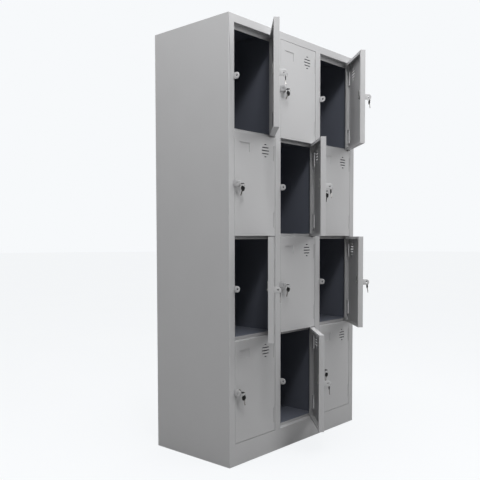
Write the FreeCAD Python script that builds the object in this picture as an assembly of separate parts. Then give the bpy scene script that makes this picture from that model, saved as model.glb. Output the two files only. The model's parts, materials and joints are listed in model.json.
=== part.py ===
"""Twelve-door steel locker with a cam lock, a key pair and padlock eyes on every door.

The locker stands on z = 0 and faces -Y. The origin is the centre of its footprint on the floor, +X is to the
right of a person facing it, and all sizes are in millimetres. A door is drawn closed and then swung to its rest
angle about its hinge axis, so everything that the door carries is drawn in the closed position too.
"""
import FreeCAD, Part
import math
import os

V = FreeCAD.Vector

# ---------------------------------------------------------------- driving sizes
WIDTH = 940.0
DEPTH = 445.0
HEIGHT = 1850.0
COLUMNS = 3
ROWS = 4
SHEET = 1.0  # body and door sheet

# front frame
STILE = 34.0  # width of each outer upright
MULLION = 37.0  # width of each upright between two columns
RAIL = 32.0  # height of the top rail
PLINTH = 92.0  # height of the kick plate
LOCK_JAMB = 19.0  # depth of the fold beside a door's free edge
JAMB_LIP = 8.0  # stop lip on the hinge jamb
STOP_OVERLAP = 12.0  # how far a shelf lip stands above and below the gap between two doors
TOP_STOP = 18.0  # drop of the stop lip behind the top rail
FLANGE = 15.0  # weld flange along the edge of a sheet
FOOT_FLANGE = 28.0  # width of the flange that stands on the floor

# doors
DOOR_DEPTH = 23.0
DOOR_GAP = 1.5  # free edge, top and bottom
HINGE_GAP = 2.0  # hinge edge
DOOR_LIP = 12.0  # return at the back of the door pan
DOOR_BEND = 1.4  # outer bend radius of the door's front edges
DOOR_SETBACK = 1.0  # from the back of a closed door to its stop
REST_ANGLES = {(1, 1): 43.0, (1, 3): 48.0, (2, 2): 46.0, (3, 1): 38.0, (3, 3): 47.0, (4, 2): 45.0}

# hinges
PIN_RADIUS = 2.0
PIN_PLAY = 0.08  # radial running clearance of the pin in its knuckle
KNUCKLE_RADIUS = 3.3
KNUCKLE_LENGTH = 65.0
HINGE_INSET = 70.0  # hinge centre to the door's top or bottom edge
HINGE_FROM_JAMB = 6.5
HINGE_FROM_FRONT = 3.5
HINGE_END_GAP = 0.5  # between a knuckle and the lug above or below it
LUG = 2.0  # thickness of the lug that holds a pin end
LEAF = 1.5  # thickness of the hinge leaf
LEAF_DEPTH = 14.5

# number card holder and vent
CARD_WIDTH = 62.0
CARD_HEIGHT = 37.0
CARD_FROM_SIDE = 32.0
CARD_FROM_TOP = 41.0
CARD_RECESS = 2.0
VENT_CIRCLE = 56.0
VENT_SLOTS = 5
VENT_PITCH = 13.0
VENT_SLOT_HEIGHT = 4.0
VENT_END_TRIM = 3.5
VENT_FROM_SIDE = 198.0
VENT_FROM_TOP = 63.0

# lock
LOCK_FROM_SIDE = 25.0  # lock axis to the edge of the opening
BARREL_RADIUS = 9.5
BARREL_FIT = 0.1
BEZEL_RADIUS = 11.5
BEZEL_DEPTH = 2.5
BARREL_LENGTH = 20.5
NUT_ACROSS = 22.0
NUT_DEPTH = 4.0
PLUG_RADIUS = 6.0
PLUG_PLAY = 0.06
TENON = 7.0  # square end of the plug that carries the cam
CAM_GAP = 0.5  # between the back of the door and the cam
CAM_THICK = 2.0
CAM_WIDTH = 14.0
CAM_REACH = 34.0
SCREW_RADIUS = 4.5
SCREW_DEPTH = 2.5

# keys
KEY_THICK = 2.4
KEY_HEAD_WIDTH = 22.0
KEY_HEAD_LENGTH = 19.0
KEY_HEAD_CORNER = 6.5
KEY_SHOULDER = 5.5  # from the plug's face to the key head
KEY_BLADE_WIDTH = 7.4
KEY_BLADE_THICK = 2.0
KEY_BLADE_LENGTH = 24.0
KEY_SLOT_LENGTH = 6.8
KEY_BRIDGE = 2.6  # material between the slot and the end of the head
KEY_PLAY = 0.3
RING_RADIUS = 8.5
RING_WIRE = 0.7
SPARE_LEAN = -24.0  # how far a spare key hangs from plumb, towards the padlock eyes if negative
SPARE_LEANS = {(1, 2): -30.0, (2, 3): -16.0, (3, 2): -20.0, (4, 1): 14.0, (4, 3): -12.0}

# padlock eyes
EYE_THICK = 2.0
EYE_HEIGHT = 26.0
EYE_REACH = 30.0
EYE_HOLE_RADIUS = 4.0
EYE_FROM_JAMB = 3.5  # eye's far face to the edge of the opening
EYE_FOOT = 8.0
EYE_SLOT_PLAY = 0.2

# fixing holes
FLOOR_HOLE_RADIUS = 5.5
FLOOR_HOLE_FROM_SIDE = 14.0
FLOOR_HOLE_SPACING = 345.0
WALL_HOLE_RADIUS = 4.5
WALL_HOLE_SPACING_X = 600.0
WALL_HOLE_SPACING_Z = 1300.0
WALL_HOLE_HEIGHT = 1050.0  # centre of the wall fixing pattern above the floor

# ---------------------------------------------------------------- derived places
LEFT = -WIDTH / 2
RIGHT = WIDTH / 2
FRONT = -DEPTH / 2
BACK = DEPTH / 2
OPENING = (WIDTH - 2 * STILE - (COLUMNS - 1) * MULLION) / COLUMNS
COLUMN_PITCH = OPENING + MULLION
ROW_PITCH = (HEIGHT - RAIL - PLINTH) / ROWS
RAIL_BOTTOM = HEIGHT - RAIL
DOOR_WIDTH = OPENING - DOOR_GAP - HINGE_GAP
DOOR_HEIGHT = ROW_PITCH - 2 * DOOR_GAP
STOP_FRONT = FRONT + DOOR_DEPTH + DOOR_SETBACK  # front face of every stop lip
STOP_BACK = STOP_FRONT + SHEET
DECK_TOP = PLINTH + STOP_OVERLAP
INNER_BACK = BACK - SHEET
INNER_TOP = HEIGHT - SHEET
HINGE_Y = FRONT + HINGE_FROM_FRONT
NOTCH = KNUCKLE_LENGTH + 2 * HINGE_END_GAP
PIN_LENGTH = NOTCH + 2 * LUG
CAM_FRONT = DOOR_DEPTH + CAM_GAP
HEAD_END = -(BEZEL_DEPTH + KEY_SHOULDER + KEY_HEAD_LENGTH)
KEY_SLOT_RADIUS = RING_WIRE + KEY_PLAY
KEY_PIVOT = HEAD_END + KEY_BRIDGE + KEY_SLOT_RADIUS  # centre of the slot's outer end
RING_Y = HEAD_END + KEY_BRIDGE / 2
RING_Z = -(RING_RADIUS - RING_WIRE - KEY_THICK / 2 - KEY_PLAY)
RING_BOTTOM = RING_Z - RING_RADIUS


def opening_left(column):
    """The edge of the opening beside a door's free edge."""
    return LEFT + STILE + (column - 1) * COLUMN_PITCH


def opening_right(column):
    """The edge of the opening beside a door's hinges."""
    return opening_left(column) + OPENING


def row_bottom(row):
    """The lower end of a row's share of the front. Row 1 is at the top."""
    return PLINTH + (ROWS - row) * ROW_PITCH


def row_middle(row):
    return row_bottom(row) + ROW_PITCH / 2


def hinge_heights(row):
    bottom = row_bottom(row) + DOOR_GAP
    return (bottom + HINGE_INSET, bottom + DOOR_HEIGHT - HINGE_INSET)


def each_door():
    return [(row, column) for row in range(1, ROWS + 1) for column in range(1, COLUMNS + 1)]


# ---------------------------------------------------------------- shape helpers
def block(x0, x1, y0, y1, z0, z1):
    """A box between two corners, given axis by axis."""
    return Part.makeBox(x1 - x0, y1 - y0, z1 - z0, V(x0, y0, z0))


def rod(radius, length, start, direction):
    return Part.makeCylinder(radius, length, start, direction)


def joined(pieces):
    """One clean solid from sheet pieces that touch or overlap."""
    whole = pieces[0].multiFuse(pieces[1:]) if len(pieces) > 1 else pieces[0]
    return whole.removeSplitter()


def slot_prism(centre_x, centre_z, length, height, y0, y1):
    """A round-ended slot lying along X, cut through from y0 to y1."""
    radius = height / 2
    half = length / 2 - radius
    core = block(centre_x - half, centre_x + half, y0, y1, centre_z - radius, centre_z + radius)
    ends = [rod(radius, y1 - y0, V(centre_x + side * half, y0, centre_z), V(0, 1, 0)) for side in (-1, 1)]
    return joined([core] + ends)


def save(name, solids):
    """Writes one node. A node with several solids holds them side by side, not fused."""
    shape = solids[0] if len(solids) == 1 else Part.makeCompound(solids)
    shape.exportStep("parts/%s.step" % name)


# ---------------------------------------------------------------- front frame and body
def eye_slots(column):
    """Cut-outs in the face of the upright on the lock side of one column, one for each padlock eye."""
    edge = opening_left(column) - EYE_FROM_JAMB
    half = EYE_HEIGHT / 2 + EYE_SLOT_PLAY
    return [
        block(edge - EYE_SLOT_PLAY, edge + EYE_THICK + EYE_SLOT_PLAY, FRONT - 1, FRONT + SHEET + 1,
              row_middle(row) - half, row_middle(row) + half)
        for row in range(1, ROWS + 1)
    ]


def hinge_fold(column, z0, z1):
    """The fold beside the hinges of one column, with the lip that the door closes against."""
    edge = opening_right(column)
    return [
        block(edge, edge + SHEET, FRONT, STOP_BACK, z0, z1),
        block(edge - JAMB_LIP, edge + SHEET, STOP_FRONT, STOP_BACK, z0, z1),
    ]


def lock_fold(column, z0, z1):
    """The fold beside the free edge of one column's doors. The cam passes behind it."""
    edge = opening_left(column)
    return [block(edge - SHEET, edge, FRONT, FRONT + LOCK_JAMB, z0, z1)]


def floor_holes(x):
    return [
        rod(FLOOR_HOLE_RADIUS, SHEET + 2, V(x, side * FLOOR_HOLE_SPACING / 2, -1), V(0, 0, 1))
        for side in (-1, 1)
    ]


def left_side_panel():
    """Side sheet with the outer upright folded from its front edge and a floor flange at its foot."""
    pieces = [
        block(LEFT, LEFT + SHEET, FRONT, BACK, 0, HEIGHT),
        block(LEFT, opening_left(1), FRONT, FRONT + SHEET, 0, RAIL_BOTTOM),
        block(LEFT, LEFT + FOOT_FLANGE, FRONT + SHEET, INNER_BACK, 0, SHEET),
    ]
    sheet = joined(pieces + lock_fold(1, PLINTH, RAIL_BOTTOM))
    return sheet.cut(eye_slots(1) + floor_holes(LEFT + FLOOR_HOLE_FROM_SIDE))


def right_side_panel():
    pieces = [
        block(RIGHT - SHEET, RIGHT, FRONT, BACK, 0, HEIGHT),
        block(opening_right(COLUMNS), RIGHT, FRONT, FRONT + SHEET, 0, RAIL_BOTTOM),
        block(RIGHT - FOOT_FLANGE, RIGHT, FRONT + SHEET, INNER_BACK, 0, SHEET),
    ]
    sheet = joined(pieces + hinge_fold(COLUMNS, PLINTH, RAIL_BOTTOM))
    return sheet.cut(floor_holes(RIGHT - FLOOR_HOLE_FROM_SIDE))


def mullion(left_column):
    """Upright between two columns: hinges on its left side, locks and padlock eyes on its right side."""
    x0 = opening_right(left_column)
    face = block(x0, x0 + MULLION, FRONT, FRONT + SHEET, PLINTH, RAIL_BOTTOM)
    folds = hinge_fold(left_column, PLINTH, RAIL_BOTTOM) + lock_fold(left_column + 1, PLINTH, RAIL_BOTTOM)
    return joined([face] + folds).cut(eye_slots(left_column + 1))


def stop_lip(column, z0, z1):
    """An upright lip behind the doors of one column, between the two folds."""
    return block(opening_left(column) + SHEET / 2, opening_right(column) - JAMB_LIP - SHEET / 2,
                 STOP_FRONT, STOP_BACK, z0, z1)


def columns():
    return range(1, COLUMNS + 1)


def top_rail():
    """Face over the uprights' ends, folded back above the doors and down into a stop lip in each column."""
    x0 = opening_left(1)
    x1 = opening_right(COLUMNS)
    face = block(LEFT + SHEET, RIGHT - SHEET, FRONT, FRONT + SHEET, RAIL_BOTTOM, HEIGHT)
    fold = block(x0, x1, FRONT, STOP_BACK, RAIL_BOTTOM, RAIL_BOTTOM + SHEET)
    lips = [stop_lip(column, RAIL_BOTTOM - TOP_STOP, RAIL_BOTTOM + SHEET) for column in columns()]
    return joined([face, fold] + lips)


def plinth():
    """Kick plate below the doors, with a stop lip at its top and a flange on the floor."""
    x0 = opening_left(1)
    x1 = opening_right(COLUMNS)
    face = block(x0, x1, FRONT, FRONT + SHEET, 0, PLINTH)
    fold = block(x0, x1, FRONT, STOP_BACK, PLINTH - SHEET, PLINTH)
    foot = block(x0, x1, FRONT, FRONT + FOOT_FLANGE, 0, SHEET)
    lips = [stop_lip(column, PLINTH - SHEET, DECK_TOP) for column in columns()]
    return joined([face, fold, foot] + lips)


def base_panel():
    """Floor of the bottom row, with weld flanges down both sides and along the back."""
    x0 = LEFT + SHEET
    x1 = RIGHT - SHEET
    return joined([
        block(x0, x1, STOP_BACK, INNER_BACK, DECK_TOP - SHEET, DECK_TOP),
        block(x0, x0 + SHEET, STOP_BACK, INNER_BACK, DECK_TOP - FLANGE, DECK_TOP),
        block(x1 - SHEET, x1, STOP_BACK, INNER_BACK, DECK_TOP - FLANGE, DECK_TOP),
        block(x0, x1, INNER_BACK - SHEET, INNER_BACK, DECK_TOP - FLANGE, DECK_TOP),
    ])


def top_panel():
    """Roof sheet with a weld flange turned down along both sides and the back."""
    x0 = LEFT + SHEET
    x1 = RIGHT - SHEET
    return joined([
        block(x0, x1, FRONT + SHEET, BACK, INNER_TOP, HEIGHT),
        block(x0, x0 + SHEET, STOP_BACK, BACK, HEIGHT - FLANGE, HEIGHT),
        block(x1 - SHEET, x1, STOP_BACK, BACK, HEIGHT - FLANGE, HEIGHT),
        block(x0, x1, BACK - SHEET, BACK, HEIGHT - FLANGE, HEIGHT),
    ])


def wall_holes():
    return [
        rod(WALL_HOLE_RADIUS, SHEET + 2,
            V(side * WALL_HOLE_SPACING_X / 2, BACK + 1, WALL_HOLE_HEIGHT + end * WALL_HOLE_SPACING_Z / 2),
            V(0, -1, 0))
        for side in (-1, 1) for end in (-1, 1)
    ]


def back_panel():
    """Back sheet, with a flange on the floor and holes for fixing to a wall."""
    x0 = LEFT + SHEET
    x1 = RIGHT - SHEET
    inner = FOOT_FLANGE - SHEET
    sheet = joined([
        block(x0, x1, INNER_BACK, BACK, 0, HEIGHT - FLANGE),
        block(x0 + inner, x1 - inner, BACK - FOOT_FLANGE, BACK, 0, SHEET),
    ])
    return sheet.cut(wall_holes())


def partition_left(column):
    """Left face of the partition between a column and the next one."""
    return opening_right(column) + (MULLION - SHEET) / 2


def partition(column):
    """Wall between two columns. Its front edge is folded flat against the back of the mullion's face."""
    x0 = partition_left(column)
    wall = block(x0, x0 + SHEET, STOP_BACK, INNER_BACK, DECK_TOP, INNER_TOP)
    neck = block(x0, x0 + SHEET, FRONT + SHEET, STOP_BACK, DECK_TOP, RAIL_BOTTOM)
    fold = block(x0 + SHEET - FLANGE, x0 + SHEET, FRONT + SHEET, FRONT + 2 * SHEET, DECK_TOP, RAIL_BOTTOM)
    return joined([wall, neck, fold])


def bay_walls(column):
    """Inner faces of the two walls beside a column."""
    left = LEFT + SHEET if column == 1 else partition_left(column - 1) + SHEET
    right = RIGHT - SHEET if column == COLUMNS else partition_left(column)
    return left, right


def shelf(row, column):
    """Floor of one bay above the bottom row. Its front lip stops the doors above and below it."""
    x0, x1 = bay_walls(column)
    gap = row_bottom(row)
    top = gap + STOP_OVERLAP
    return joined([
        block(x0, x1, STOP_BACK, INNER_BACK, top - SHEET, top),
        block(x0, x0 + SHEET, STOP_BACK, INNER_BACK, top - FLANGE, top),
        block(x1 - SHEET, x1, STOP_BACK, INNER_BACK, top - FLANGE, top),
        block(x0, x1, INNER_BACK - SHEET, INNER_BACK, top - FLANGE, top),
        stop_lip(column, gap - STOP_OVERLAP, top),
        block(opening_left(column) + SHEET / 2, opening_right(column) - JAMB_LIP - SHEET / 2,
              STOP_FRONT, STOP_BACK + SHEET, top - SHEET, top),
    ])


# ---------------------------------------------------------------- padlock eyes
def padlock_eye(x, foot_side):
    """An eye plate whose left face is at x, with its foot welded behind a front sheet.

    foot_side is -1 or 1. The plate's middle is at z = 0.
    """
    half = EYE_HEIGHT / 2
    tip = FRONT - EYE_REACH
    middle = tip + half
    back = FRONT + SHEET + LEAF
    plate = [
        block(x, x + EYE_THICK, middle, back, -half, half),
        rod(half, EYE_THICK, V(x, middle, 0), V(1, 0, 0)),
    ]
    foot_x = (x, x + EYE_FOOT) if foot_side > 0 else (x + EYE_THICK - EYE_FOOT, x + EYE_THICK)
    foot = block(foot_x[0], foot_x[1], FRONT + SHEET, back, -half, half)
    hole = rod(EYE_HOLE_RADIUS, EYE_THICK + 2, V(x - 1, middle, 0), V(1, 0, 0))
    return joined(plate + [foot]).cut(hole)


def frame_eye(row, column):
    eye = padlock_eye(opening_left(column) - EYE_FROM_JAMB, -1)
    return eye.translated(V(0, 0, row_middle(row)))


def door_eye_left(column):
    return opening_left(column) + EYE_FROM_JAMB


# ---------------------------------------------------------------- hinges
def hinge_leaf(column, z):
    """Knuckle and leaf on the frame side. The door's pin turns in the knuckle."""
    edge = opening_right(column)
    axis = edge - HINGE_FROM_JAMB
    z0 = z - KNUCKLE_LENGTH / 2
    z1 = z + KNUCKLE_LENGTH / 2
    leaf = joined([
        rod(KNUCKLE_RADIUS, KNUCKLE_LENGTH, V(axis, HINGE_Y, z0), V(0, 0, 1)),
        block(axis, edge, HINGE_Y - LEAF / 2, HINGE_Y + LEAF / 2, z0, z1),
        block(edge - LEAF, edge, HINGE_Y - LEAF / 2, HINGE_Y - LEAF / 2 + LEAF_DEPTH, z0, z1),
    ])
    bore = rod(PIN_RADIUS + PIN_PLAY, KNUCKLE_LENGTH + 2, V(axis, HINGE_Y, z0 - 1), V(0, 0, 1))
    return leaf.cut(bore)


def hinge_pin(column, z):
    start = V(opening_right(column) - HINGE_FROM_JAMB, HINGE_Y, z - PIN_LENGTH / 2)
    return rod(PIN_RADIUS, PIN_LENGTH, start, V(0, 0, 1))


# ---------------------------------------------------------------- doors
def vent_slots(x, z):
    """Slots that fill a circle. Each is a chord of the circle, trimmed at both ends."""
    slots = []
    for i in range(VENT_SLOTS):
        rise = (i - (VENT_SLOTS - 1) / 2) * VENT_PITCH
        chord = 2 * math.sqrt((VENT_CIRCLE / 2) ** 2 - rise ** 2)
        length = max(chord - 2 * VENT_END_TRIM, 2 * VENT_SLOT_HEIGHT)
        slots.append(slot_prism(x, z + rise, length, VENT_SLOT_HEIGHT, FRONT - 1, FRONT + SHEET + 1))
    return slots


def door_pan(row, column):
    """The door: a folded pan with a pressed card recess, vent, lock hole and two hinge notches."""
    x0 = opening_left(column) + DOOR_GAP
    x1 = x0 + DOOR_WIDTH
    z0 = row_bottom(row) + DOOR_GAP
    z1 = z0 + DOOR_HEIGHT
    back = FRONT + DOOR_DEPTH
    outer = block(x0, x1, FRONT, back, z0, z1)
    front_edges = [e for e in outer.Edges if e.BoundBox.YMax < FRONT + SHEET / 2]
    outer = outer.makeFillet(DOOR_BEND, front_edges)
    hollow = block(x0 + SHEET, x1 - SHEET, FRONT + SHEET, back - SHEET, z0 + SHEET, z1 - SHEET)
    mouth = block(x0 + DOOR_LIP, x1 - DOOR_LIP, back - SHEET - 1, back + 1, z0 + DOOR_LIP, z1 - DOOR_LIP)
    pan = outer.cut([hollow, mouth])

    card_x = opening_left(column) + CARD_FROM_SIDE
    card_top = z1 - CARD_FROM_TOP
    card = (card_x, card_x + CARD_WIDTH)
    dish = block(card[0] - SHEET, card[1] + SHEET, FRONT + SHEET, FRONT + SHEET + CARD_RECESS,
                 card_top - CARD_HEIGHT - SHEET, card_top + SHEET)
    window = block(card[0], card[1], FRONT - 1, FRONT + CARD_RECESS, card_top - CARD_HEIGHT, card_top)
    pan = joined([pan, dish])

    axis_x = opening_right(column) - HINGE_FROM_JAMB
    inner = axis_x - HINGE_FROM_JAMB
    lugs = []
    notches = []
    pin_holes = []
    for z in hinge_heights(row):
        notches.append(block(inner, x1 + 1, FRONT - 1, HINGE_Y + HINGE_FROM_JAMB, z - NOTCH / 2, z + NOTCH / 2))
        for z_lug in (z - NOTCH / 2 - LUG, z + NOTCH / 2):
            lugs.append(block(inner, x1 - SHEET, FRONT + SHEET, HINGE_Y + HINGE_FROM_JAMB, z_lug, z_lug + LUG))
        pin_holes.append(hinge_pin(column, z))
    pan = joined([pan] + lugs)

    lock_hole = rod(BARREL_RADIUS + BARREL_FIT, SHEET + 2,
                    V(opening_left(column) + LOCK_FROM_SIDE, FRONT - 1, row_middle(row)), V(0, 1, 0))
    eye = door_eye_left(column)
    half = EYE_HEIGHT / 2 + EYE_SLOT_PLAY
    eye_slot = block(eye - EYE_SLOT_PLAY, eye + EYE_THICK + EYE_SLOT_PLAY, FRONT - 1, FRONT + SHEET + 1,
                     row_middle(row) - half, row_middle(row) + half)
    vents = vent_slots(opening_left(column) + VENT_FROM_SIDE, z1 - VENT_FROM_TOP)
    return pan.cut([window, lock_hole, eye_slot] + vents + notches + pin_holes)


def lock_barrel():
    """Fixed half of the lock, drawn with its axis along Y and the door's front face at y = 0."""
    bezel = rod(BEZEL_RADIUS, BEZEL_DEPTH, V(0, -BEZEL_DEPTH, 0), V(0, 1, 0))
    body = rod(BARREL_RADIUS, BARREL_LENGTH, V(0, 0, 0), V(0, 1, 0))
    bore = rod(PLUG_RADIUS + PLUG_PLAY, BEZEL_DEPTH + BARREL_LENGTH + 2, V(0, -BEZEL_DEPTH - 1, 0), V(0, 1, 0))
    return joined([bezel, body]).cut(bore)


def lock_nut():
    """Hexagonal nut that clamps the barrel to the door sheet."""
    radius = NUT_ACROSS / math.sqrt(3)
    corners = [
        V(radius * math.cos(math.radians(60 * i)), SHEET, radius * math.sin(math.radians(60 * i)))
        for i in range(7)
    ]
    prism = Part.Face(Part.makePolygon(corners)).extrude(V(0, NUT_DEPTH, 0))
    bore = rod(BARREL_RADIUS, NUT_DEPTH + 2, V(0, SHEET - 1, 0), V(0, 1, 0))
    return prism.cut(bore)


# ---------------------------------------------------------------- lock plug, cam and keys
def key():
    """A key lying flat along Y. Its head ends at HEAD_END and its blade points to +Y."""
    shoulder = HEAD_END + KEY_HEAD_LENGTH
    head = block(-KEY_HEAD_WIDTH / 2, KEY_HEAD_WIDTH / 2, HEAD_END, shoulder, -KEY_THICK / 2, KEY_THICK / 2)
    corners = [e for e in head.Edges if e.BoundBox.ZLength > KEY_THICK / 2]
    head = head.makeFillet(KEY_HEAD_CORNER, corners)
    ends = [KEY_PIVOT, KEY_PIVOT + KEY_SLOT_LENGTH - 2 * KEY_SLOT_RADIUS]
    slot = [block(-KEY_SLOT_RADIUS, KEY_SLOT_RADIUS, *ends, -KEY_THICK, KEY_THICK)]
    slot += [rod(KEY_SLOT_RADIUS, 2 * KEY_THICK, V(0, y, -KEY_THICK), V(0, 0, 1)) for y in ends]
    blade = block(-KEY_BLADE_WIDTH / 2, KEY_BLADE_WIDTH / 2, shoulder - 2, shoulder + KEY_BLADE_LENGTH,
                  -KEY_BLADE_THICK / 2, KEY_BLADE_THICK / 2)
    return joined([head, blade]).cut(slot)


def lock_plug():
    """Turning half of the lock, with the keyway and the square end that carries the cam."""
    body = rod(PLUG_RADIUS, BEZEL_DEPTH + BARREL_LENGTH, V(0, -BEZEL_DEPTH, 0), V(0, 1, 0))
    tenon = block(-TENON / 2, TENON / 2, BARREL_LENGTH, CAM_FRONT + CAM_THICK, -TENON / 2, TENON / 2)
    keyway_end = HEAD_END + KEY_HEAD_LENGTH + KEY_BLADE_LENGTH + KEY_PLAY
    keyway = block(-KEY_BLADE_WIDTH / 2 - BARREL_FIT, KEY_BLADE_WIDTH / 2 + BARREL_FIT, -BEZEL_DEPTH - 1,
                   keyway_end, -KEY_BLADE_THICK / 2 - BARREL_FIT, KEY_BLADE_THICK / 2 + BARREL_FIT)
    return joined([body, tenon]).cut(keyway)


def cam():
    """Locking cam, upright as it stands when the door is unlocked."""
    tip = CAM_REACH - CAM_WIDTH / 2
    arm = block(-CAM_WIDTH / 2, CAM_WIDTH / 2, CAM_FRONT, CAM_FRONT + CAM_THICK, 0, tip)
    ends = [rod(CAM_WIDTH / 2, CAM_THICK, V(0, CAM_FRONT, z), V(0, 1, 0)) for z in (0, tip)]
    hole = block(-TENON / 2, TENON / 2, CAM_FRONT - 1, CAM_FRONT + CAM_THICK + 1, -TENON / 2, TENON / 2)
    return joined([arm] + ends).cut(hole)


def cam_screw():
    return rod(SCREW_RADIUS, SCREW_DEPTH, V(0, CAM_FRONT + CAM_THICK, 0), V(0, 1, 0))


def key_ring():
    """Split ring through the slot in the inserted key's head, hanging plumb."""
    return Part.makeTorus(RING_RADIUS, RING_WIRE, V(0, RING_Y, RING_Z), V(1, 0, 0))


def spare_key(lean):
    """The second key, hanging by its slot from the lowest point of the ring and leaning in the door's plane."""
    spare = key().translated(V(0, -KEY_PIVOT, 0))
    spare.rotate(V(0, 0, 0), V(1, 0, 0), -90)
    spare.rotate(V(0, 0, 0), V(0, -1, 0), lean)
    return spare.translated(V(0, RING_Y, RING_BOTTOM))


# ---------------------------------------------------------------- assembly
def swung(shape, row, column):
    """Turns a closed door's piece to the door's rest angle about its hinge axis."""
    turned = shape.copy()
    axis = V(opening_right(column) - HINGE_FROM_JAMB, HINGE_Y, 0)
    turned.rotate(axis, V(0, 0, 1), REST_ANGLES.get((row, column), 0.0))
    return turned


def at_lock(shape, row, column):
    """Moves a piece that was drawn round the lock axis to its lock on the closed door."""
    return shape.translated(V(opening_left(column) + LOCK_FROM_SIDE, FRONT, row_middle(row)))


def door_nodes(row, column):
    """The four nodes of one door: the pan, what is fixed to it, what turns in its lock, and the spare key."""
    eye = padlock_eye(door_eye_left(column), 1).translated(V(0, 0, row_middle(row)))
    pins = [hinge_pin(column, z) for z in hinge_heights(row)]
    fittings = [eye] + pins + [at_lock(lock_barrel(), row, column), at_lock(lock_nut(), row, column)]
    turning = [at_lock(piece, row, column) for piece in (lock_plug(), cam(), cam_screw(), key(), key_ring())]
    nodes = {
        "door": [door_pan(row, column)],
        "door_fittings": fittings,
        "lock_plug_cam_and_key": turning,
        "spare_key": [at_lock(spare_key(SPARE_LEANS.get((row, column), SPARE_LEAN)), row, column)],
    }
    return {
        "%s_r%dc%d" % (name, row, column): [swung(solid, row, column) for solid in solids]
        for name, solids in nodes.items()
    }


def body_nodes():
    return {
        "left_side_panel": [left_side_panel()],
        "right_side_panel": [right_side_panel()],
        "back_panel": [back_panel()],
        "top_panel": [top_panel()],
        "base_panel": [base_panel()],
        "top_rail": [top_rail()],
        "plinth": [plinth()],
        "mullions": [mullion(column) for column in range(1, COLUMNS)],
        "partitions": [partition(column) for column in range(1, COLUMNS)],
        "shelves": [shelf(row, column) for row in range(1, ROWS) for column in columns()],
        "frame_eyes": [frame_eye(row, column) for row, column in each_door()],
        "hinge_leaves": [hinge_leaf(column, z) for row, column in each_door() for z in hinge_heights(row)],
    }


def build():
    os.makedirs("parts", exist_ok=True)
    nodes = body_nodes()
    for row, column in each_door():
        nodes.update(door_nodes(row, column))
    for name, solids in nodes.items():
        for solid in solids:
            if not solid.isValid() or len(solid.Solids) != 1:
                print("not one valid solid:", name)
        save(name, solids)
    print("nodes:", len(nodes), "solids:", sum(len(solids) for solids in nodes.values()))


build()
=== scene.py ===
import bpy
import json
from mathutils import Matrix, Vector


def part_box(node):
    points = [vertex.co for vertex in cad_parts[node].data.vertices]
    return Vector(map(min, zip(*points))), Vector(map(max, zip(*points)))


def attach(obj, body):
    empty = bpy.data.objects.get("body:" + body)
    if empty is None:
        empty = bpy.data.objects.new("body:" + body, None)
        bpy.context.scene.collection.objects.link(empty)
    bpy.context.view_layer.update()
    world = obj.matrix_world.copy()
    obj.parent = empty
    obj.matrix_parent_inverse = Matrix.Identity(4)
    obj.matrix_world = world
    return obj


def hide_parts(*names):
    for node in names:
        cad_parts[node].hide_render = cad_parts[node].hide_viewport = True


bl_info = {
    "name": "Twelve-Door Steel Locker",
    "version": (1, 0, 0),
    "blender": (4, 5, 0),
    "location": "3D View > Sidebar > Locker",
    "description": "Sheet edges, finishes, locks, keys and studio of a twelve-door steel locker",
    "category": "Object",
}

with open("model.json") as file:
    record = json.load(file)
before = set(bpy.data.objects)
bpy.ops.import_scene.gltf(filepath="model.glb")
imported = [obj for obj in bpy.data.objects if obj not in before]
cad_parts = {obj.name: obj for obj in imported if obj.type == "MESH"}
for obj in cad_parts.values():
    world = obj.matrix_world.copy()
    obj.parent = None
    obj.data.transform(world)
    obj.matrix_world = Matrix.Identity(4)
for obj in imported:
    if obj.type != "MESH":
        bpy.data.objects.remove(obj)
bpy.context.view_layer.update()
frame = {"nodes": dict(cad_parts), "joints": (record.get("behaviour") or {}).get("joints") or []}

import json
import math

import bmesh
import bpy
from bpy.props import FloatProperty, FloatVectorProperty, PointerProperty
from mathutils import Matrix, Vector

MM = 0.001
JOINTS = {joint["name"]: joint for joint in frame["joints"]}
DOORS = sorted(name[len("door_swing_"):] for name in JOINTS if name.startswith("door_swing_"))


def linear(code):
    """An sRGB hex colour as linear RGBA."""
    parts = [int(code[i:i + 2], 16) / 255 for i in (0, 2, 4)]
    curved = [c / 12.92 if c <= 0.04045 else ((c + 0.055) / 1.055) ** 2.4 for c in parts]
    return (*curved, 1.0)


# ---------------------------------------------------------------- what a user may change
def colour(name, description, code):
    return FloatVectorProperty(
        name=name, description=description, subtype="COLOR", size=3, min=0.0, max=1.0,
        default=linear(code)[:3],
    )


def length(name, description, millimetres):
    return FloatProperty(
        name=name, description=description, subtype="DISTANCE", unit="LENGTH", min=0.0,
        default=millimetres * MM,
    )


class LockerFinish(bpy.types.PropertyGroup):
    """Colours and surface values of the finishes."""

    coat: colour("Powder coat", "Light grey of the outside, the doors and the folds", "b7b7b8")
    # The bays have the same light grey coat as the outside; this darker grey is painted shade for the dim
    # inside of the bays.
    coat_painted_shade: colour("Inside coat", "Darker grey inside the bays", "666a75")
    coat_roughness: FloatProperty(
        name="Coat roughness", description="Satin of the powder coat", default=0.46, min=0.0, max=1.0,
        subtype="FACTOR",
    )
    zinc: colour("Zinc plate", "Cams, nuts, pins and screws", "b7b8b6")
    nickel: colour("Nickel plate", "Lock fronts, key blades and rings", "a9a7a3")
    key_plastic: colour("Key plastic", "Moulded heads of the keys", "0b0b0c")


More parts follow.
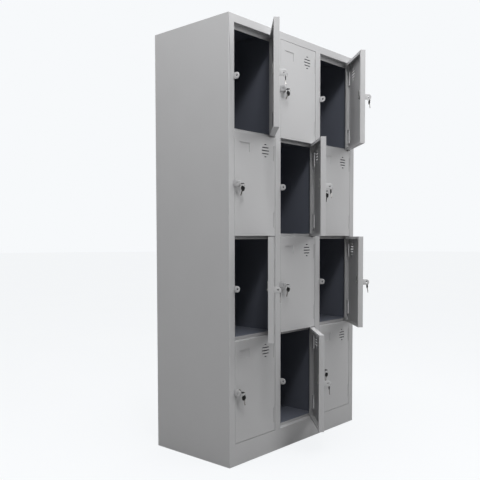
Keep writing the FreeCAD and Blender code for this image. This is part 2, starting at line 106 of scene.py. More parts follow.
class LockerHardware(bpy.types.PropertyGroup):
    """Sizes of the locks, keys, rings and eyes."""

    bezel_radius: length("Bezel radius", "Rim of the lock on the door's face", 11.5)
    bezel_depth: length("Bezel depth", "How far the rim stands out", 2.5)
    barrel_radius: length("Barrel radius", "Threaded body of the lock", 9.5)
    barrel_length: length("Barrel length", "Door face to the back of the barrel", 20.5)
    plug_radius: length("Plug radius", "Turning core of the lock", 6.0)
    key_width: length("Key head width", "Across the moulded head", 22.0)
    key_length: length("Key head length", "Along the moulded head", 19.0)
    key_thickness: length("Key head thickness", "Through the moulded head", 2.4)
    blade_width: length("Blade width", "Across the blade", 7.4)
    blade_length: length("Blade length", "Shoulder to tip", 24.0)
    ring_radius: length("Ring radius", "Middle of the wire to the middle of the ring", 8.5)
    ring_wire: length("Ring wire", "Radius of the ring's wire", 0.45)
    eye_height: length("Eye height", "Height of a padlock eye", 26.0)
    eye_reach: length("Eye reach", "Door face to the tip of a padlock eye", 30.0)


class LockerStudio(bpy.types.PropertyGroup):
    """Camera and light."""

    camera_place: FloatVectorProperty(
        name="Camera place", description="Where the camera stands", subtype="TRANSLATION", unit="LENGTH",
        size=3, default=(-2.37569, -1.98269, 0.95193),
    )
    camera_yaw: FloatProperty(
        name="Camera yaw", description="Turn of the view from straight at the doors, to the right",
        subtype="ANGLE", unit="ROTATION", default=0.8341,
    )
    camera_pitch: FloatProperty(
        name="Camera pitch", description="Rise of the view", subtype="ANGLE", unit="ROTATION",
        default=-0.0468,
    )
    camera_roll: FloatProperty(
        name="Camera roll", description="Turn of the view about its own line", subtype="ANGLE",
        unit="ROTATION", default=-0.0027,
    )
    camera_lens: FloatProperty(
        name="Lens", description="Focal length on a 36 mm frame", unit="CAMERA", default=48.0, min=1.0,
    )
    key_power: FloatProperty(
        name="Key light", description="High softbox in front of the doors", unit="POWER", default=34.0,
    )
    crisp_power: FloatProperty(
        name="Crisp light", description="Small high softbox that draws the shadows inside the open bays",
        unit="POWER", default=24.0,
    )
    side_power: FloatProperty(
        name="Side light", description="High softbox on the left", unit="POWER", default=11.0,
    )
    ceiling_power: FloatProperty(
        name="Ceiling light", description="Wide softbox over the locker", unit="POWER", default=60.0,
    )
    overhead: FloatProperty(
        name="Overhead light", description="Even light straight down on the floor", default=2.85, min=0.0,
    )
    sky: FloatProperty(
        name="Sky", description="Brightness of the surroundings as light", default=0.12, min=0.0,
    )
    backdrop: colour("Backdrop", "Pale surroundings behind the locker", "f7f9fb")


# ---------------------------------------------------------------- materials
def add(tree, kind, attributes=None, inputs=None):
    """Adds one shader node, sets its attributes, and fills or links its inputs."""
    node = tree.nodes.new("ShaderNode" + kind)
    for name, value in (attributes or {}).items():
        setattr(node, name, value)
    for key, value in (inputs or {}).items():
        if isinstance(value, bpy.types.NodeSocket):
            tree.links.new(value, node.inputs[key])
        else:
            node.inputs[key].default_value = value
    return node


def new_material(name):
    """An empty material: its tree, its shader and the place of each point on the piece, in metres."""
    material = bpy.data.materials.new(name)
    material.use_nodes = True
    tree = material.node_tree
    tree.nodes.clear()
    shader = add(tree, "BsdfPrincipled")
    add(tree, "OutputMaterial", inputs={"Surface": shader.outputs["BSDF"]})
    place = add(tree, "TexCoord").outputs["Object"]
    return material, tree, shader, place


def grain(millimetres):
    """The noise scale whose lumps are this far apart on Object coordinates in metres."""
    return 1.0 / (millimetres * MM)


def shade(rgb, factor):
    return tuple(min(1.0, c * factor) for c in rgb[:3]) + (1.0,)


def tinted(tree, place, rgb, size, low, high, detail=2.0):
    """A colour that drifts between two shades of itself over lumps of one size in millimetres."""
    noise = add(tree, "TexNoise", inputs={"Vector": place, "Scale": grain(size), "Detail": detail})
    mix = add(tree, "Mix", {"data_type": "RGBA"},
              {0: noise.outputs["Fac"], 6: shade(rgb, low), 7: shade(rgb, high)})
    return mix.outputs[2], noise.outputs["Fac"]


def ranged(tree, source, low, high):
    return add(tree, "MapRange", inputs={"Value": source, "To Min": low, "To Max": high}).outputs[0]


def powder_coat(name, rgb, roughness):
    """Polyester powder coat, sprayed and stoved on steel: an even satin grey with a faint orange peel."""
    material, tree, shader, place = new_material(name)
    tone, drift = tinted(tree, place, rgb, 160.0, 0.975, 1.02)
    # orange peel is about 1 mm across on the real sheet, and is drawn at 2.6 mm so that it shows at all
    peel = add(tree, "TexNoise", inputs={"Vector": place, "Scale": grain(2.6), "Detail": 1.0})
    bump = add(tree, "Bump", inputs={"Strength": 0.22, "Distance": 0.04 * MM,
                                     "Height": peel.outputs["Fac"]})
    tree.links.new(tone, shader.inputs["Base Color"])
    tree.links.new(ranged(tree, drift, roughness - 0.03, roughness + 0.05), shader.inputs["Roughness"])
    tree.links.new(bump.outputs["Normal"], shader.inputs["Normal"])
    shader.inputs["IOR"].default_value = 1.5
    return material


def zinc_plate(rgb):
    """Bright zinc electroplate on pressed steel: cool satin metal with cloudy patches."""
    material, tree, shader, place = new_material("zinc_plated_steel")
    tone, cloud = tinted(tree, place, rgb, 7.0, 0.88, 1.05, 3.0)
    tree.links.new(tone, shader.inputs["Base Color"])
    tree.links.new(ranged(tree, cloud, 0.28, 0.44), shader.inputs["Roughness"])
    shader.inputs["Metallic"].default_value = 1.0
    return material


def nickel_plate(name, rgb, streak):
    """Nickel plate over turned or milled brass: warm bright metal with fine tool lines across it."""
    material, tree, shader, place = new_material(name)
    stretched = add(tree, "Mapping", inputs={"Vector": place, "Scale": (1.0, streak, 1.0)}).outputs[0]
    tone, lines = tinted(tree, stretched, rgb, 0.9, 0.92, 1.04)
    bump = add(tree, "Bump", inputs={"Strength": 0.15, "Distance": 0.02 * MM, "Height": lines})
    tree.links.new(tone, shader.inputs["Base Color"])
    tree.links.new(ranged(tree, lines, 0.18, 0.30), shader.inputs["Roughness"])
    tree.links.new(bump.outputs["Normal"], shader.inputs["Normal"])
    shader.inputs["Metallic"].default_value = 1.0
    return material


def moulded_plastic(rgb):
    """Black ABS moulded over the key: a deep satin black with the fine spark texture of the mould."""
    material, tree, shader, place = new_material("black_moulded_abs")
    tone, drift = tinted(tree, place, rgb, 9.0, 0.8, 1.3)
    # the mould's spark texture is about 0.1 mm across, drawn at 0.35 mm
    spark = add(tree, "TexVoronoi", inputs={"Vector": place, "Scale": grain(0.35)})
    bump = add(tree, "Bump", inputs={"Strength": 0.3, "Distance": 0.03 * MM,
                                     "Height": spark.outputs["Distance"]})
    tree.links.new(tone, shader.inputs["Base Color"])
    tree.links.new(ranged(tree, drift, 0.46, 0.60), shader.inputs["Roughness"])
    tree.links.new(bump.outputs["Normal"], shader.inputs["Normal"])
    shader.inputs["Specular IOR Level"].default_value = 0.25
    return material


def studio_floor(rgb, bounce, direct, glow):
    """Matt white sweep that the locker stands on, lit evenly enough to keep only a faint contact shadow."""
    material, tree, shader, place = new_material("matt_white_floor")
    tone, _ = tinted(tree, place, rgb, 900.0, 0.99, 1.0)
    seen = add(tree, "LightPath").outputs["Is Camera Ray"]
    mix = add(tree, "Mix", {"data_type": "RGBA"},
              {0: seen, 6: (bounce, bounce, bounce, 1.0), 7: (direct, direct, direct, 1.0)})
    tree.links.new(mix.outputs[2], shader.inputs["Base Color"])
    tree.links.new(tone, shader.inputs["Emission Color"])
    tree.links.new(ranged(tree, seen, 0.0, glow), shader.inputs["Emission Strength"])
    shader.inputs["Specular IOR Level"].default_value = 0.0
    shader.inputs["Roughness"].default_value = 0.9
    return material


_made = {}


def finish(name):
    """One of the locker's finishes, made the first time that it is asked for."""
    if name not in _made:
        values = bpy.context.scene.locker_finish
        makers = {
            "coat": lambda: powder_coat("light_grey_powder_coat", values.coat, values.coat_roughness),
            # the darker grey inside the bays is painted shade, not a second coat
            "coat_painted_shade": lambda: powder_coat("inside_powder_coat", values.coat_painted_shade,
                                               values.coat_roughness + 0.08),
            "zinc": lambda: zinc_plate(values.zinc),
            "nickel": lambda: nickel_plate("nickel_plated_brass", values.nickel, 6.0),
            "spring": lambda: nickel_plate("nickel_plated_spring_wire", values.nickel, 1.0),
            "plastic": lambda: moulded_plastic(values.key_plastic),
        }
        _made[name] = makers[name]()
    return _made[name]


# ---------------------------------------------------------------- shapes
def tidy(bm):
    bmesh.ops.remove_doubles(bm, verts=bm.verts, dist=0.001 * MM)
    bmesh.ops.recalc_face_normals(bm, faces=bm.faces)
    return bm


def moved(bm, *matrices):
    """Applies one matrix after another to everything in a bmesh, the last one named first."""
    whole = Matrix.Identity(4)
    for matrix in matrices:
        whole = whole @ matrix
    bmesh.ops.transform(bm, matrix=whole, verts=bm.verts)
    return bm


def shift(x, y, z):
    return Matrix.Translation((x, y, z))


def turn(degrees, axis):
    return Matrix.Rotation(math.radians(degrees), 4, axis)


def joined(*parts):
    """Several closed shells side by side in one bmesh."""
    whole = bmesh.new()
    for part in parts:
        scrap = bpy.data.meshes.new("scrap")
        part.to_mesh(scrap)
        part.free()
        whole.from_mesh(scrap)
        bpy.data.meshes.remove(scrap)
    return whole


def sharp_edges(bm, degrees=40.0):
    limit = math.radians(degrees)
    return [e for e in bm.edges if e.is_manifold and e.calc_face_angle() > limit]


def ease(bm, offset, segments=2, edges=None):
    """Rounds the sharp edges."""
    bmesh.ops.bevel(bm, geom=sharp_edges(bm) if edges is None else edges, offset=offset,
                    offset_type="OFFSET", segments=segments, profile=0.5, affect="EDGES",
                    material=-1, clamp_overlap=True)
    return bm


def rounded_loop(bm, width, height, corner, centre=(0.0, 0.0), ends=(-1, 1), segments=6):
    """A flat rectangular face whose corners are rounded at the ends named, low, high or both."""
    verts = bmesh.ops.create_grid(bm, x_segments=1, y_segments=1, size=0.5)["verts"]
    bmesh.ops.scale(bm, vec=(width, height, 1.0), verts=verts)
    chosen = [v for v in verts if (1 if v.co.y > 0 else -1) in ends]
    bmesh.ops.translate(bm, vec=(*centre, 0.0), verts=verts)
    bmesh.ops.bevel(bm, geom=chosen, offset=corner, offset_type="OFFSET", segments=segments,
                    profile=0.5, affect="VERTICES", material=-1)


def hole_through(bm):
    """Turns two faces, one inside the other, into a face with a hole."""
    bmesh.ops.delete(bm, geom=bm.faces[:], context="FACES_ONLY")
    bmesh.ops.remove_doubles(bm, verts=bm.verts, dist=0.001 * MM)
    bmesh.ops.bridge_loops(bm, edges=bm.edges[:])


def thickened(bm, thickness):
    """A flat sheet in XY made into a closed plate with its middle at z = 0."""
    bmesh.ops.recalc_face_normals(bm, faces=bm.faces)
    bmesh.ops.solidify(bm, geom=bm.faces[:], thickness=thickness)
    low = min(v.co.z for v in bm.verts)
    high = max(v.co.z for v in bm.verts)
    bmesh.ops.translate(bm, vec=(0.0, 0.0, -(low + high) / 2), verts=bm.verts)
    return tidy(bm)


def lathe(profile, steps=32, closed=False):
    """Spins (radius, height) points in millimetres about Z. A closed profile makes a ring."""
    bm = bmesh.new()
    verts = [bm.verts.new((radius * MM, 0.0, height * MM)) for radius, height in profile]
    pairs = list(zip(verts, verts[1:] + verts[:1])) if closed else list(zip(verts, verts[1:]))
    edges = [bm.edges.new(pair) for pair in pairs]
    bmesh.ops.spin(bm, geom=verts + edges, cent=(0, 0, 0), axis=(0, 0, 1), dvec=(0, 0, 0),
                   angle=2 * math.pi, steps=steps, use_merge=True)
    return tidy(bm)


INTO_DOOR = turn(-90, "X")  # takes +Z of a turned piece to +Y, into the door
ON_DOOR = turn(90, "X")  # stands a flat plate up against the door


# ---------------------------------------------------------------- places and pieces
def rest_angle(tag):
    return -JOINTS["door_swing_" + tag]["range_deg"][0]


def at_door(tag):
    """From the lock axis of a closed door, its face at y = 0, to the door as it stands."""
    lock = Vector(JOINTS["lock_turn_" + tag]["pos_m"])
    return Matrix.Translation(lock) @ turn(rest_angle(tag), "Z")


def at_frame(tag):
    """From the lock axis of a closed door to the same axis on the frame."""
    hinge = Vector(JOINTS["door_swing_" + tag]["pos_m"])
    lock = Vector(JOINTS["lock_turn_" + tag]["pos_m"])
    return Matrix.Translation(hinge + turn(-rest_angle(tag), "Z").to_3x3() @ (lock - hinge))


def piece(name, bm, body, slot, *finishes, smooth=35.0):
    """Puts a finished bmesh in the scene as a piece that rides on a body."""
    mesh = bpy.data.meshes.new(name)
    bm.to_mesh(mesh)
    bm.free()
    for polygon in mesh.polygons:
        polygon.use_smooth = smooth > 0
    if smooth > 0:
        mesh.set_sharp_from_angle(angle=math.radians(smooth))
    for material in finishes:
        mesh.materials.append(finish(material))
    made = bpy.data.objects.new(name, mesh)
    bpy.context.scene.collection.objects.link(made)
    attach(made, body)
    return made


def repaint(node, material):
    """Gives a CAD node its finish."""
    slots = frame["nodes"][node].material_slots
    for slot in slots:
        slot.link = "OBJECT"
        slot.material = finish(material)


# ---------------------------------------------------------------- operators
INSIDE_LOW = Vector((-0.469, -0.1965, 0.0))
INSIDE_HIGH = Vector((0.469, 0.2215, 1.849))
FOLD_RADIUS = 1.6 * MM
SHEET_EASE = 0.3 * MM
PROBE = 5 * MM


def merged_copy(node):
    """A CAD node's sheet as whole faces in place of its loose triangles."""
    bm = bmesh.new()
    bm.from_mesh(frame["nodes"][node].data)
    bmesh.ops.remove_doubles(bm, verts=bm.verts, dist=0.002 * MM)
    bmesh.ops.dissolve_limit(bm, angle_limit=math.radians(0.5), use_dissolve_boundaries=False,
                             verts=bm.verts, edges=bm.edges, delimit=set())
    return bm


def along_corner(edge, corners):
    """Whether an upright edge lies on one of the (x, y) corners that are folded."""
    a, b = (v.co for v in edge.verts)
    if (a.xy - b.xy).length > 1e-6:
        return False
    return any((a.xy - Vector(corner)).length < 1e-5 for corner in corners)


def folded_sheet(node, corners=()):
    """A body sheet with a real bend along its folded corners, eased cut edges, and painted shade: its faces
    inside the bays take a darker grey.
    """
    bm = merged_copy(node)
    bends = [edge for edge in sharp_edges(bm) if along_corner(edge, corners)]
    if bends:
        ease(bm, FOLD_RADIUS, 4, bends)
    ease(bm, SHEET_EASE, 2, sharp_edges(bm, 60.0))
    # faces that look into the bays get the darker grey, which is painted shade for the dim inside of the bays
    for face in bm.faces:
        probe = face.calc_center_median() + face.normal * PROBE
        inside = all(low < c < high for low, c, high in zip(INSIDE_LOW, probe, INSIDE_HIGH))
        face.material_index = 1 if inside else 0
    made = piece(node + "_sheet", bm, "cabinet", "light_grey_powder_coat", "coat", "coat_painted_shade", smooth=0)
    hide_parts(node)
    return made


class LOCKER_OT_body_sheets(bpy.types.Operator):
    """Bend, ease and coat the sheets of the body"""

    bl_idname = "locker.body_sheets"
    bl_label = "Body Sheets"

    def execute(self, context):
        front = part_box("top_rail")[0].y
        left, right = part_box("left_side_panel")[0].x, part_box("right_side_panel")[1].x
        folded_sheet("left_side_panel", [(left, front)])
        folded_sheet("right_side_panel", [(right, front)])
        for node in ("top_rail", "plinth", "mullions", "top_panel", "back_panel", "shelves"):
            folded_sheet(node)
        # the base and the partitions stand wholly inside the bays and get the painted shade
        for node in ("base_panel", "partitions"):
            repaint(node, "coat_painted_shade")
        return {"FINISHED"}


class LOCKER_OT_doors(bpy.types.Operator):
    """Coat the doors and the hinge knuckles"""

    bl_idname = "locker.doors"
    bl_label = "Doors and Hinges"

    def execute(self, context):
        for tag in DOORS:
            repaint("door_" + tag, "coat")
        repaint("hinge_leaves", "coat")
        return {"FINISHED"}


EYE_THICK = 2.0 * MM
EYE_HOLE = 4.0 * MM
EYE_BACK = 2.5 * MM
EYE_FROM_LOCK = 20.5 * MM  # middle of the door's eye to the lock axis
FRAME_EYE_FROM_LOCK = 27.5 * MM
EYE_FOOT = 8.0 * MM
FOOT_THICK = 1.5 * MM


def padlock_eye(values, foot_side):
    """An eye plate through a slot in the sheet, its foot spot-welded behind."""
    reach, height = values.eye_reach, values.eye_height
    plate = bmesh.new()
    whole = reach + EYE_BACK
    middle = EYE_BACK - whole / 2
    rounded_loop(plate, height, whole, height / 2 - 0.02 * MM, (0.0, middle), ends=(-1,), segments=12)
    bmesh.ops.create_circle(plate, cap_ends=True, segments=24, radius=EYE_HOLE,
                            matrix=shift(0.0, height / 2 - reach, 0.0))
    hole_through(plate)
    ease(thickened(plate, EYE_THICK), 0.35 * MM)
    moved(plate, turn(90, "Y"))
    foot = bmesh.new()
    rounded_loop(foot, EYE_FOOT, height, 2.0 * MM, segments=3)
    ease(thickened(foot, FOOT_THICK), 0.3 * MM)
    across = foot_side * (EYE_FOOT - EYE_THICK) / 2
    moved(foot, shift(across, EYE_BACK - FOOT_THICK / 2, 0.0), ON_DOOR)
    return joined(plate, foot)


class LOCKER_OT_padlock_eyes(bpy.types.Operator):
    """Make the padlock eyes of the doors and of the frame"""

    bl_idname = "locker.padlock_eyes"
    bl_label = "Padlock Eyes"

    def execute(self, context):
        values = context.scene.locker_hardware
        for number, tag in enumerate(DOORS):
            on_door = moved(padlock_eye(values, 1), at_door(tag), shift(-EYE_FROM_LOCK, 0.0, 0.0))
            made = piece("door_eye_" + tag, on_door, "door_body_" + tag, "light_grey_powder_coat_door",
                         "coat")
            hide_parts("door_fittings_" + tag)
            on_frame = moved(padlock_eye(values, -1), at_frame(tag), shift(-FRAME_EYE_FROM_LOCK, 0.0, 0.0))
            made = piece("frame_eye_" + tag, on_frame, "cabinet", "light_grey_powder_coat", "coat")
            if number == 0:
                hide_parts("frame_eyes")
        return {"FINISHED"}


HINGE_RISE = 144.25 * MM  # hinge centres above and below the middle of the door
PIN_RADIUS = 2.0
PIN_LENGTH = 70.0


class LOCKER_OT_hinge_pins(bpy.types.Operator):
    """Make the two hinge pins of each door"""

    bl_idname = "locker.hinge_pins"
    bl_label = "Hinge Pins"

    def execute(self, context):
        half = PIN_LENGTH / 2
        dome = [(0.0, -half), (PIN_RADIUS * 0.6, -half + 0.1), (PIN_RADIUS * 0.92, -half + 0.5),
                (PIN_RADIUS, -half + 1.2)]
        profile = dome + [(radius, -height) for radius, height in reversed(dome)]
        for tag in DOORS:
            hinge = Vector(JOINTS["door_swing_" + tag]["pos_m"])
            pins = [moved(lathe(profile, 20), Matrix.Translation(hinge), shift(0.0, 0.0, side * HINGE_RISE))
                    for side in (-1, 1)]
            piece("hinge_pins_" + tag, joined(*pins), "door_body_" + tag, "zinc_plated_steel", "zinc")
        return {"FINISHED"}


THREAD_START = 1.6
THREAD_PITCH = 1.25
KEYWAY_PLAY = 0.3
KEYWAY_HEIGHT = 2.3
PLUG_FACE_DEPTH = 4.0
NUT_ACROSS = 22.0
NUT_DEPTH = 4.0
DOOR_SHEET = 1.0


def barrel_profile(values):
    """Half section of the barrel: bezel, a plain part through the sheet, then the thread."""
    bezel, depth = values.bezel_radius / MM, values.bezel_depth / MM
    body, back, bore = values.barrel_radius / MM, values.barrel_length / MM, values.plug_radius / MM + 0.1
    profile = [(bore, -depth + 0.5), (bore + 0.45, -depth), (bezel - 1.3, -depth),
               (bezel - 0.4, -depth + 0.3), (bezel, -depth + 0.9), (bezel, 0.0), (body, 0.0), (body, 1.4)]
    teeth = int((back - 2.4) / THREAD_PITCH)
    for tooth in range(teeth):
        start = THREAD_START + tooth * THREAD_PITCH
        profile += [(body - 0.55, start + 0.4), (body, start + 1.0)]
    return profile + [(body - 0.5, back - 0.1), (body - 0.9, back), (bore, back)]


def plug_front(values):
    """Front of the turning core with its keyway."""
    bm = bmesh.new()
    bmesh.ops.create_circle(bm, cap_ends=True, segments=32, radius=values.plug_radius)
    rounded_loop(bm, values.blade_width + KEYWAY_PLAY * MM, KEYWAY_HEIGHT * MM, 0.4 * MM, segments=3)
    hole_through(bm)
    ease(thickened(bm, PLUG_FACE_DEPTH * MM), 0.2 * MM, 1)
    return moved(bm, shift(0.0, PLUG_FACE_DEPTH / 2 * MM - values.bezel_depth, 0.0), ON_DOOR)


def hex_nut(values):
    """Hexagonal clamping nut with chamfered corners."""
    bm = bmesh.new()
    bmesh.ops.create_circle(bm, cap_ends=True, segments=6, radius=NUT_ACROSS * MM / math.sqrt(3),
                            matrix=turn(30, "Z"))
    bmesh.ops.create_circle(bm, cap_ends=True, segments=24, radius=values.barrel_radius)
    hole_through(bm)
    ease(thickened(bm, NUT_DEPTH * MM), 0.5 * MM)
    return moved(bm, shift(0.0, (DOOR_SHEET + NUT_DEPTH / 2) * MM, 0.0), ON_DOOR)


class LOCKER_OT_lock_barrels(bpy.types.Operator):
    """Make the fixed barrel and nut of each lock"""

    bl_idname = "locker.lock_barrels"
    bl_label = "Lock Barrels"

    def execute(self, context):
        values = context.scene.locker_hardware
        for tag in DOORS:
            body = "door_body_" + tag
            barrel = moved(lathe(barrel_profile(values), 36, closed=True), at_door(tag), INTO_DOOR)
            piece("lock_barrel_" + tag, barrel, body, "zinc_plated_steel", "nickel")
            piece("lock_nut_" + tag, moved(hex_nut(values), at_door(tag)), body, "zinc_plated_steel", "zinc")
        return {"FINISHED"}


CAM_FRONT = 23.5
CAM_THICK = 2.0
CAM_WIDTH = 14.0
CAM_REACH = 34.0
TAIL_RADIUS = 5.7
TAIL_START, TAIL_END = 19.5, 20.6
TENON = 7.0
TENON_LENGTH = 3.1
TENON_MIDDLE = 22.0


def cam_plate():
    bm = bmesh.new()
    whole = CAM_REACH + CAM_WIDTH / 2
    rounded_loop(bm, CAM_WIDTH * MM, whole * MM, (CAM_WIDTH / 2 - 0.02) * MM,
                 (0.0, (CAM_REACH - CAM_WIDTH / 2) / 2 * MM), segments=10)
    ease(thickened(bm, CAM_THICK * MM), 0.35 * MM)
    return moved(bm, shift(0.0, (CAM_FRONT + CAM_THICK / 2) * MM, 0.0), ON_DOOR)


def cam_bolt():
    """Washer and hexagonal head that hold the cam."""
    washer = lathe([(0.0, 0.0), (4.2, 0.0), (4.5, 0.2), (4.5, 0.5), (4.2, 0.7), (0.0, 0.7)], 28)
    head = bmesh.new()
    bmesh.ops.create_cone(head, cap_ends=True, segments=6, radius1=4.1 * MM, radius2=4.1 * MM, depth=1.8 * MM)
    ease(head, 0.35 * MM, 2)
    moved(head, shift(0.0, 0.0, 1.6 * MM))
    return moved(joined(washer, head), shift(0.0, (CAM_FRONT + CAM_THICK) * MM, 0.0), INTO_DOOR)


def core_tail(values):
    """Back of the turning core, behind the barrel, with the square that carries the cam."""
    disc = lathe([(0.0, TAIL_START), (TAIL_RADIUS, TAIL_START), (TAIL_RADIUS, TAIL_END), (0.0, TAIL_END)], 28)
    square = bmesh.new()
    bmesh.ops.create_cube(square, size=1.0,
                          matrix=Matrix.Diagonal((TENON * MM, TENON * MM, TENON_LENGTH * MM, 1.0)))
    ease(square, 0.5 * MM, 2)
    moved(square, shift(0.0, 0.0, TENON_MIDDLE * MM))
    return moved(joined(disc, square), INTO_DOOR)


class LOCKER_OT_lock_cams(bpy.types.Operator):
    """Make the turning core, cam and bolt of each lock"""

    bl_idname = "locker.lock_cams"
    bl_label = "Lock Cores and Cams"

    def execute(self, context):
        values = context.scene.locker_hardware
        for tag in DOORS:
            body = "lock_body_" + tag
            turning = joined(plug_front(values), core_tail(values))
            core = piece("lock_core_" + tag, moved(turning, at_door(tag)), body, "zinc_plated_steel",
                         "nickel")
            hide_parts("lock_plug_cam_and_key_" + tag)
            piece("lock_cam_" + tag, moved(joined(cam_plate(), cam_bolt()), at_door(tag)), body,
                  "zinc_plated_steel", "zinc")
        return {"FINISHED"}


HEAD_END = -27.0
KEY_BRIDGE = 2.6
SLOT_WIDTH = 2.0
SLOT_LENGTH = 6.8
SLOT_CORNER = 0.95
RIM_WIDTH = 1.1
RIM_HEIGHT = 0.3
COLLAR_WIDTH = 10.0
COLLAR_LENGTH = 3.0
COLLAR_FROM_END = 18.6
BLADE_ROOT = 2.0  # how far the blade runs into the head
BLADE_THICK = 1.9
TIP_CUT = 1.6
RING_STEPS = 72
RING_GAP = 0.05  # turn left open between the wire's ends, in radians
HEAD_CORNER = 6.5
RING_PLAY = 1.0  # ring wire and play between the ring and the end of a key's slot
# depth of each cut along the blade
BITTING = (0.0, 0.0, 0.0, 1.0, 1.0, 2.0, 1.2, 0.6, 1.7, 1.7, 0.8, 1.4, 2.6)


def key_head(values):
    """Moulded head with a raised rim and the ring slot, lying flat along Y."""
    bm = bmesh.new()
    middle = HEAD_END * MM + values.key_length / 2
    slot = (HEAD_END + KEY_BRIDGE + SLOT_LENGTH / 2) * MM
    rounded_loop(bm, values.key_width, values.key_length, HEAD_CORNER * MM, (0.0, middle))
    rounded_loop(bm, SLOT_WIDTH * MM, SLOT_LENGTH * MM, SLOT_CORNER * MM, (0.0, slot))
    hole_through(bm)
    thickened(bm, values.key_thickness)
    broad = [face for face in bm.faces if abs(face.normal.z) > 0.9]
    bmesh.ops.inset_region(bm, faces=broad, thickness=RIM_WIDTH * MM, depth=-RIM_HEIGHT * MM,
                           use_even_offset=True, use_boundary=True)
    ease(bm, 0.4 * MM, 2, sharp_edges(bm, 70.0))
    collar = bmesh.new()
    bmesh.ops.create_cube(collar, size=1.0)
    moved(collar, shift(0.0, (HEAD_END + COLLAR_FROM_END) * MM, 0.0),
          Matrix.Diagonal((COLLAR_WIDTH * MM, COLLAR_LENGTH * MM, values.key_thickness, 1.0)))
    ease(collar, 0.5 * MM, 2)
    return joined(bm, collar)


def key_blade(values):
    """Blade with its cuts on one side, pointing to +Y."""
    bm = bmesh.new()
    start = HEAD_END * MM + values.key_length - BLADE_ROOT * MM
    whole = values.blade_length + BLADE_ROOT * MM
    steps = len(BITTING) - 1
    bmesh.ops.create_grid(bm, x_segments=1, y_segments=steps, size=0.5)
    bmesh.ops.scale(bm, vec=(values.blade_width, whole, 1.0), verts=bm.verts)
    bmesh.ops.translate(bm, vec=(0.0, start + whole / 2, 0.0), verts=bm.verts)
    for vert in bm.verts:
        place = round((vert.co.y - start) / whole * steps)
        if vert.co.x > 0:
            vert.co.x -= BITTING[place] * MM
        elif place == steps:
            vert.co.x += TIP_CUT * MM
    thickened(bm, BLADE_THICK * MM)
    ease(bm, 0.2 * MM, 1, sharp_edges(bm, 70.0))
    return bm


def split_ring(values):
    """Ring of two close turns of wire, its axis along X and its middle at the origin."""
    bm = bmesh.new()
    pitch = 2.1 * values.ring_wire
    bmesh.ops.create_circle(bm, cap_ends=True, segments=8, radius=values.ring_wire,
                            matrix=shift(values.ring_radius, 0.0, -pitch / 2) @ turn(90, "X"))
    bmesh.ops.spin(bm, geom=bm.verts[:] + bm.edges[:] + bm.faces[:], cent=(0, 0, 0), axis=(0, 0, 1),
                   dvec=(0, 0, pitch / RING_STEPS), angle=4 * math.pi - RING_GAP, steps=RING_STEPS,
                   use_merge=False)
    return moved(tidy(bm), turn(90, "Y"))


class LOCKER_OT_keys(bpy.types.Operator):
    """Make the two keys and the split ring of each lock"""

    bl_idname = "locker.keys"
    bl_label = "Keys and Rings"

    def execute(self, context):
        values = context.scene.locker_hardware
        for tag in DOORS:
            place = at_door(tag)
            swing = JOINTS["spare_key_swing_" + tag]
            low = place.inverted() @ Vector(swing["pos_m"])  # lowest point of the ring, on the spare key
            lean = -90.0 - swing["range_deg"][0]
            turning, hanging = "lock_body_" + tag, "spare_key_body_" + tag
            piece("key_head_" + tag, moved(key_head(values), place), turning, "nickel_and_black_key",
                  "plastic")
            piece("key_blade_" + tag, moved(key_blade(values), place), turning, "nickel_and_black_key",
                  "nickel")
            middle = low + Vector((0.0, 0.0, values.ring_radius))
            piece("key_ring_" + tag, moved(split_ring(values), place, Matrix.Translation(middle)), turning,
                  "zinc_plated_steel", "spring")
            hung = (place, Matrix.Translation(low), turn(-lean, "Y"), turn(-90, "X"),
                    shift(0.0, -(HEAD_END + KEY_BRIDGE + RING_PLAY) * MM, 0.0))
            spare = piece("spare_head_" + tag, moved(key_head(values), *hung), hanging,
                          "nickel_and_black_key", "plastic")
            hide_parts("spare_key_" + tag)
            piece("spare_blade_" + tag, moved(key_blade(values), *hung), hanging, "nickel_and_black_key",
                  "nickel")
        return {"FINISHED"}


def softbox(name, place, target, width, height, power):
    """A rectangular area light aimed at a point."""
    light = bpy.data.lights.new(name, "AREA")
    light.shape = "RECTANGLE"
    light.size, light.size_y, light.energy = width, height, power
    made = bpy.data.objects.new(name, light)
    bpy.context.scene.collection.objects.link(made)
    made.location = place
    made.rotation_euler = (Vector(target) - Vector(place)).to_track_quat("-Z", "Y").to_euler()


FLOOR_RADIUS = 40.0
FLOOR_BOUNCE = 0.28  # what the floor throws back on the locker
FLOOR_DIRECT = 0.08  # how much of the light on the floor is seen, which keeps the contact shadow
FLOOR_GLOW = 0.885  # evenness of the sweep, as a share of the backdrop
SUN_SPREAD = 50.0  # degrees
SENSOR_WIDTH = 36.0
LENS_SHIFT = (0.0107, 0.0565)
SOFTBOXES = (  # name, place, target, width and height in metres
    ("key", (0.9, -2.8, 2.6), (0.0, 0.0, 1.6), 2.2, 1.6),
    ("crisp", (-1.4, -1.5, 3.3), (0.0, -0.2, 1.4), 0.35, 0.35),
    ("side", (-3.0, 0.5, 2.5), (-0.4, 0.1, 1.8), 1.4, 1.0),
    ("ceiling", (-0.5, -0.6, 3.0), (-0.5, -0.6, 0.0), 3.4, 3.4),
)


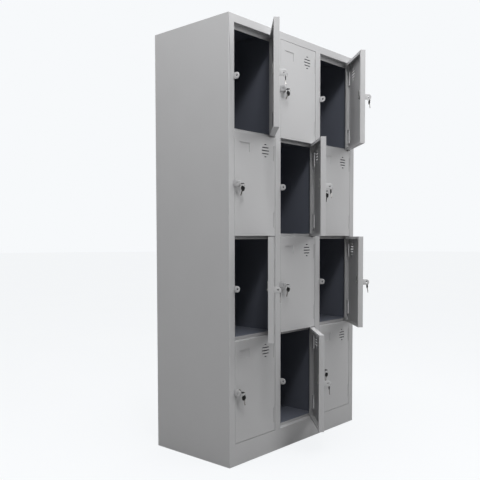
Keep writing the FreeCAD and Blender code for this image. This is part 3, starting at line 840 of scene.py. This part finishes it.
class LOCKER_OT_stage(bpy.types.Operator):
    """Make the pale floor, the surroundings, the soft lights and the camera"""

    bl_idname = "locker.stage"
    bl_label = "Stage"

    def execute(self, context):
        scene = context.scene
        values = scene.locker_studio
        scene.view_settings.view_transform = "Standard"

        bm = bmesh.new()
        bmesh.ops.create_circle(bm, cap_ends=True, segments=96, radius=FLOOR_RADIUS)
        mesh = bpy.data.meshes.new("studio_floor")
        bm.to_mesh(mesh)
        bm.free()
        mesh.materials.append(studio_floor(values.backdrop, FLOOR_BOUNCE, FLOOR_DIRECT, FLOOR_GLOW))
        floor = bpy.data.objects.new("studio_floor", mesh)
        scene.collection.objects.link(floor)

        world = scene.world or bpy.data.worlds.new("studio")
        scene.world = world
        world.use_nodes = True
        tree = world.node_tree
        tree.nodes.clear()
        seen = add(tree, "Background", inputs={"Color": (*values.backdrop, 1.0), "Strength": 1.0})
        lit = add(tree, "Background", inputs={"Color": (*values.backdrop, 1.0), "Strength": values.sky})
        path = add(tree, "LightPath")
        mixed = add(tree, "MixShader", inputs={0: path.outputs["Is Camera Ray"], 1: lit.outputs[0],
                                               2: seen.outputs[0]})
        add(tree, "OutputWorld", inputs={"Surface": mixed.outputs[0]})

        for name, *shape in SOFTBOXES:
            softbox(name + "_light", *shape, getattr(values, name + "_power"))
        sun = bpy.data.lights.new("overhead_light", "SUN")
        sun.energy, sun.angle = values.overhead, math.radians(SUN_SPREAD)
        scene.collection.objects.link(bpy.data.objects.new("overhead_light", sun))

        camera = bpy.data.objects.new("camera", bpy.data.cameras.new("camera"))
        scene.collection.objects.link(camera)
        scene.camera = camera
        lens = camera.data
        lens.sensor_width, lens.lens = SENSOR_WIDTH, values.camera_lens
        lens.shift_x, lens.shift_y = LENS_SHIFT
        lens.clip_start, lens.clip_end = 0.05, 200.0
        yaw, pitch = values.camera_yaw, values.camera_pitch
        ahead = Vector((math.sin(yaw) * math.cos(pitch), math.cos(yaw) * math.cos(pitch), math.sin(pitch)))
        across = Vector((math.cos(yaw), -math.sin(yaw), 0.0))
        level = Matrix((across, across.cross(ahead), -ahead)).transposed().to_4x4()
        camera.matrix_world = (Matrix.Translation(values.camera_place) @ level
                               @ Matrix.Rotation(values.camera_roll, 4, "Z"))
        return {"FINISHED"}


# ---------------------------------------------------------------- panel and registration
STEPS = (
    LOCKER_OT_body_sheets,
    LOCKER_OT_doors,
    LOCKER_OT_padlock_eyes,
    LOCKER_OT_hinge_pins,
    LOCKER_OT_lock_barrels,
    LOCKER_OT_lock_cams,
    LOCKER_OT_keys,
    LOCKER_OT_stage,
)
GROUPS = {"locker_finish": LockerFinish, "locker_hardware": LockerHardware, "locker_studio": LockerStudio}


class LOCKER_PT_looks(bpy.types.Panel):
    """The locker's pieces, in the order that they are made"""

    bl_idname = "LOCKER_PT_looks"
    bl_label = "Steel Locker"
    bl_space_type = "VIEW_3D"
    bl_region_type = "UI"
    bl_category = "Locker"

    def draw(self, context):
        for step in STEPS:
            self.layout.operator(step.bl_idname)
        for group in GROUPS:
            box = self.layout.box()
            values = getattr(context.scene, group)
            for name in values.__annotations__:
                box.prop(values, name)


def register():
    for item in (*GROUPS.values(), *STEPS, LOCKER_PT_looks):
        bpy.utils.register_class(item)
    for name, group in GROUPS.items():
        setattr(bpy.types.Scene, name, PointerProperty(type=group))


def unregister():
    for name in GROUPS:
        delattr(bpy.types.Scene, name)
    for item in reversed((*GROUPS.values(), *STEPS, LOCKER_PT_looks)):
        bpy.utils.unregister_class(item)


def main():
    register()
    for step in STEPS:
        group, name = step.bl_idname.split(".")
        getattr(getattr(bpy.ops, group), name)()


if __name__ == "__main__":
    main()
